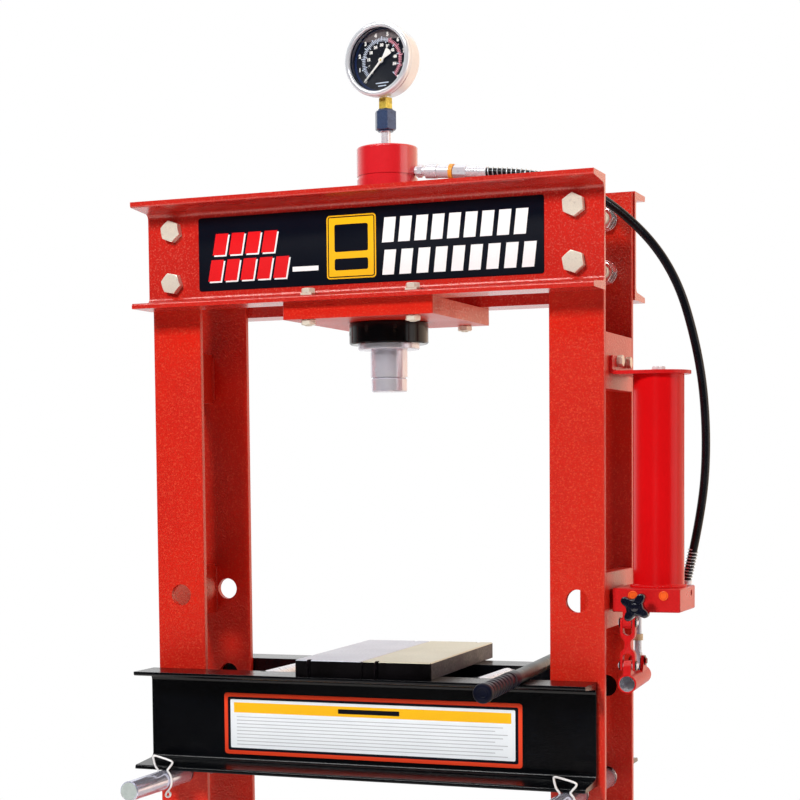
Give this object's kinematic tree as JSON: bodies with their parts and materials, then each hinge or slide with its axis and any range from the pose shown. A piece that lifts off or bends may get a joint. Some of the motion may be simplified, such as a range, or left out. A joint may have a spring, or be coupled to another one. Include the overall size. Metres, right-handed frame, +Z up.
{
  "type": "hydraulic shop press",
  "caption": "H-frame hydraulic shop press with a hand pump, pressure gauge, hose-fed ram cylinder, height-adjustable bed on pins and loose arbor plates.",
  "frame": {"origin": "on the floor, centre of the four floor-anchor holes, under the ram axis", "axes": "+Z up along the ram axis, +X towards the pump side, -Y towards the operator"},
  "size_m": [0.8439, 0.6678, 1.8102],
  "materials": {
    "red_paint": "semi-gloss orange-peel powder coat",
    "red_gloss": "gloss paint",
    "black_paint": "gloss",
    "zinc": "zinc plated",
    "black_steel": "black oxide",
    "bright_steel": "ground and polished",
    "plate_face": "machined",
    "panel": "printed vinyl",
    "label": "printed vinyl",
    "brass": "machined",
    "hose_rubber": "satin",
    "spring_steel": "spring wire",
    "knob": "moulded",
    "orange_cap": "moulded",
    "dial": "printed",
    "white": "moulded",
    "lens": "clear",
    "handle_tube": "satin dark grey-green"
  },
  "bodies": {
    "frame": {"batten_plates": "red_paint", "beam_bolts": "zinc", "beam_nuts": "zinc", "brace_fasteners": "zinc", "coupler_body": "brass", "cross_brace_front": "red_paint", "cross_brace_rear": "red_paint", "cylinder_barrel": "red_gloss", "cylinder_gland_ring": "zinc", "cylinder_lock_ring": "black_steel", "foot_left": "red_paint", "foot_right": "red_paint", "gauge_bezel": "bright_steel", "gauge_case": "bright_steel", "gauge_coupling": "black_steel", "gauge_dial": "dial", "gauge_lens": "lens", "hose_ferrule_bottom": "zinc", "hose_ferrule_top": "zinc", "hose_guard_bottom": "spring_steel", "hose_guard_top": "spring_steel", "nameplate_panel": "panel", "port_nipple": "zinc", "post_left_front": "red_paint", "post_left_rear": "red_paint", "post_right_front": "red_paint", "post_right_rear": "red_paint", "press_plate": "red_paint", "press_plate_fasteners": "zinc", "pressure_hose": "hose_rubber", "pump_block": "red_gloss", "pump_elbow": "zinc", "pump_mount_bolts": "zinc", "pump_reservoir": "red_gloss", "pump_top_bracket": "red_gloss", "return_spring": "spring_steel", "top_beam_front": "red_paint", "top_beam_rear": "red_paint", "valve_plugs": "orange_cap"},
    "ram": {"ram_rod": "bright_steel", "press_head": "bright_steel"},
    "needle": {"gauge_needle": "white"},
    "coupler_nut": {"coupler_sleeve": "zinc"},
    "filler": {"filler_plug": "white"},
    "release_valve": {"release_knob": "knob"},
    "plunger": {"pump_plunger": "bright_steel"},
    "link": {"link_arm": "red_gloss"},
    "socket": {"handle_socket": "red_gloss"},
    "bed": {"bed_channel_front": "black_paint", "bed_channel_rear": "black_paint", "bed_spacers": "zinc", "bed_label_plate": "label"},
    "pin_left": {"bed_pin_left": "bright_steel", "pin_clips_left": "spring_steel"},
    "pin_right": {"bed_pin_right": "bright_steel", "pin_clips_right": "spring_steel"},
    "arbor_left": {"arbor_plate_left": "plate_face"},
    "arbor_right": {"arbor_plate_right": "plate_face"},
    "loose_handle": {"pump_handle": "handle_tube", "handle_grip": "hose_rubber"}
  },
  "joints": [
    {"name": "ram_stroke", "type": "slide", "parent": "frame", "child": "ram", "axis": [0, 0, -1], "range_m": [0, 0.15], "deforming": ["return_spring"]},
    {"name": "gauge_needle_turn", "type": "hinge", "parent": "frame", "child": "needle", "pos_m": [-0.0037, -0.01208, 1.755], "axis": [0.1392, 0.9903, 0], "range_deg": [0, 270]},
    {"name": "coupler_sleeve_turn", "type": "hinge", "parent": "frame", "child": "coupler_nut", "pos_m": [0.044, 0, 1.5893], "axis": [0.9965, 0, -0.0837], "range_deg": [0, 1080]},
    {"name": "filler_plug_lift", "type": "slide", "parent": "frame", "child": "filler", "axis": [0, 0, 1], "range_m": [0, 0.02]},
    {"name": "release_valve_turn", "type": "hinge", "parent": "frame", "child": "release_valve", "pos_m": [0.4005, -0.08, 0.9455], "axis": [0, -1, 0], "range_deg": [0, 360]},
    {"name": "link_swing", "type": "hinge", "parent": "frame", "child": "link", "pos_m": [0.3805, -0.05, 0.9205], "axis": [1, 0, 0], "range_deg": [-1, 5.6]},
    {"name": "handle_socket_pump", "type": "hinge", "parent": "link", "child": "socket", "pos_m": [0.3805, -0.05, 0.8585], "axis": [1, 0, 0], "range_deg": [-33.4, 4.8]},
    {"name": "plunger_stroke", "type": "slide", "parent": "frame", "child": "plunger", "axis": [0, 0, 1], "range_m": [-0.029, 0.0045]},
    {"name": "bed_lift", "type": "slide", "parent": "frame", "child": "bed", "axis": [0, 0, 1], "range_m": [0, 0.139]},
    {"name": "bed_pin_left_play", "type": "slide", "parent": "frame", "child": "pin_left", "axis": [0, 1, 0], "range_m": [-0.004, 0.004]},
    {"name": "bed_pin_right_play", "type": "slide", "parent": "frame", "child": "pin_right", "axis": [0, 1, 0], "range_m": [-0.004, 0.004]},
    {"name": "arbor_plate_left_lift", "type": "slide", "parent": "bed", "child": "arbor_left", "axis": [0, 0, 1], "range_m": [0, 0.04]},
    {"name": "arbor_plate_right_lift", "type": "slide", "parent": "bed", "child": "arbor_right", "axis": [0, 0, 1], "range_m": [0, 0.04]},
    {"name": "pump_handle_lift", "type": "slide", "parent": "bed", "child": "loose_handle", "axis": [0, 0, 1], "range_m": [0, 0.06]}
  ],
  "couplings": [
    {"joint": "link_swing", "follows": "handle_socket_pump", "ratio": -0.162},
    {"joint": "plunger_stroke", "follows": "handle_socket_pump", "m_per_rad": 0.049}
  ]
}
